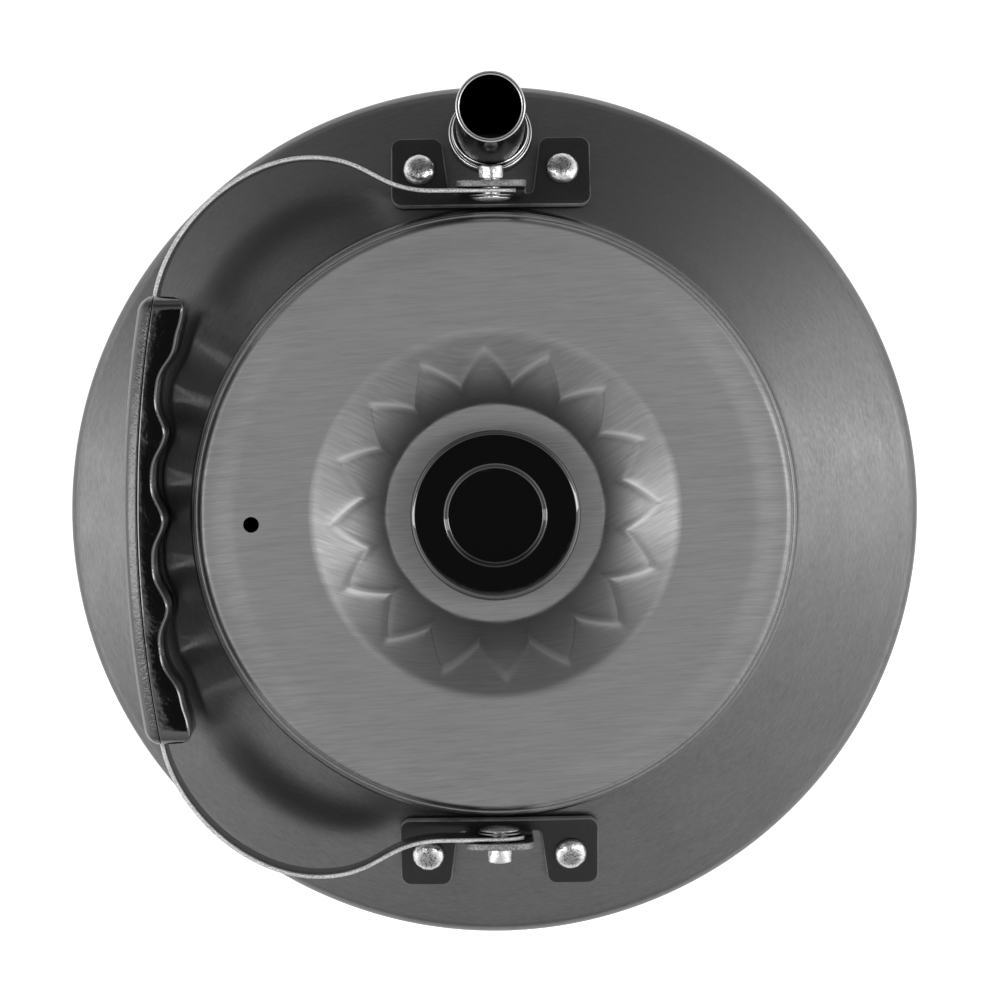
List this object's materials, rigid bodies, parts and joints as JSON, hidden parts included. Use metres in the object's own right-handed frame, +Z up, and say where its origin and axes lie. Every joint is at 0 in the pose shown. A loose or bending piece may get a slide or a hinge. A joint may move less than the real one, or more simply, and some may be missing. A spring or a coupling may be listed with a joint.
{
  "type": "ultralight kettle",
  "caption": "Low round aluminium camp kettle with a short upright spout, folding strap bail with grooved grip, and a lift-off lid with a pleated finger well and knob.",
  "frame": {"origin": "on the kettle's axis at the underside of its base", "axes": "+Z up, +Y from the kettle's axis towards the spout, +X to the right with the spout pointing away; the bail turns about Y and lies folded over -X"},
  "size_m": [0.185, 0.1867, 0.085],
  "materials": {
    "anodised_body": "hard-anodised, finely brushed round the axis",
    "brushed_lid": "hard-anodised, straight brushed",
    "bright_metal": "bright",
    "strap_steel": "satin",
    "black_bracket": "satin black",
    "black_moulding": "polished black moulding"
  },
  "bodies": {
    "kettle": {"kettle_body": "anodised_body", "spout_tube": "bright_metal", "spout_collar": "bright_metal", "front_bracket": "black_bracket", "rear_bracket": "black_bracket", "front_bracket_rivet_left": "bright_metal", "front_bracket_rivet_right": "bright_metal", "rear_bracket_rivet_left": "bright_metal", "rear_bracket_rivet_right": "bright_metal", "front_pivot_rivet": "bright_metal", "rear_pivot_rivet": "bright_metal", "front_pivot_washer": "strap_steel", "rear_pivot_washer": "strap_steel"},
    "bail": {"bail_strap": "strap_steel", "grip_outer_shell": "black_moulding", "grip_inner_shell": "black_moulding"},
    "lid": {"lid": "brushed_lid", "lid_knob": "black_moulding", "knob_washer": "strap_steel", "knob_screw": "strap_steel"}
  },
  "joints": [
    {"name": "bail_swing", "type": "hinge", "parent": "kettle", "child": "bail", "pos_m": [0, 0, 0.07404], "axis": [0, 1, 0], "range_deg": [0, 180]},
    {"name": "lid_lift", "type": "slide", "parent": "kettle", "child": "lid", "axis": [0, 0, 1], "range_m": [0, 0.06]}
  ]
}
